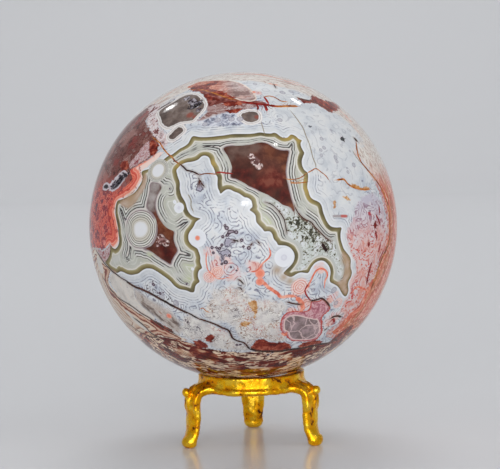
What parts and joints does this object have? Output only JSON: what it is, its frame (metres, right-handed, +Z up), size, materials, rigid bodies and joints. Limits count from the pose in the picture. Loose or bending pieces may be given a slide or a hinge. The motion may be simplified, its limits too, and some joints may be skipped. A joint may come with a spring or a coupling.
{
  "type": "crazy lace agate sphere on a gilt tripod stand",
  "caption": "Polished banded agate ball resting in the ring of a low gilt metal tripod stand with splayed feet; a free-standing mineral ornament.",
  "frame": {"origin": "on the surface that the tripod stands on, straight below the ball's centre", "axes": "+Z up; -Y is the front, the side that the picture shows; the tripod's single leg is at the back, towards +Y"},
  "size_m": [0.08, 0.08, 0.0963],
  "materials": {
    "agate": "polished crazy lace agate: pale lilac-white lace, olive and grey bands, brown windows, brick red and coral veins",
    "gilt_metal": "bright yellow gilding over an uneven casting, brown in its crevices"
  },
  "bodies": {
    "root": {"agate_ball": "agate", "tripod_stand": "gilt_metal"}
  },
  "joints": []
}
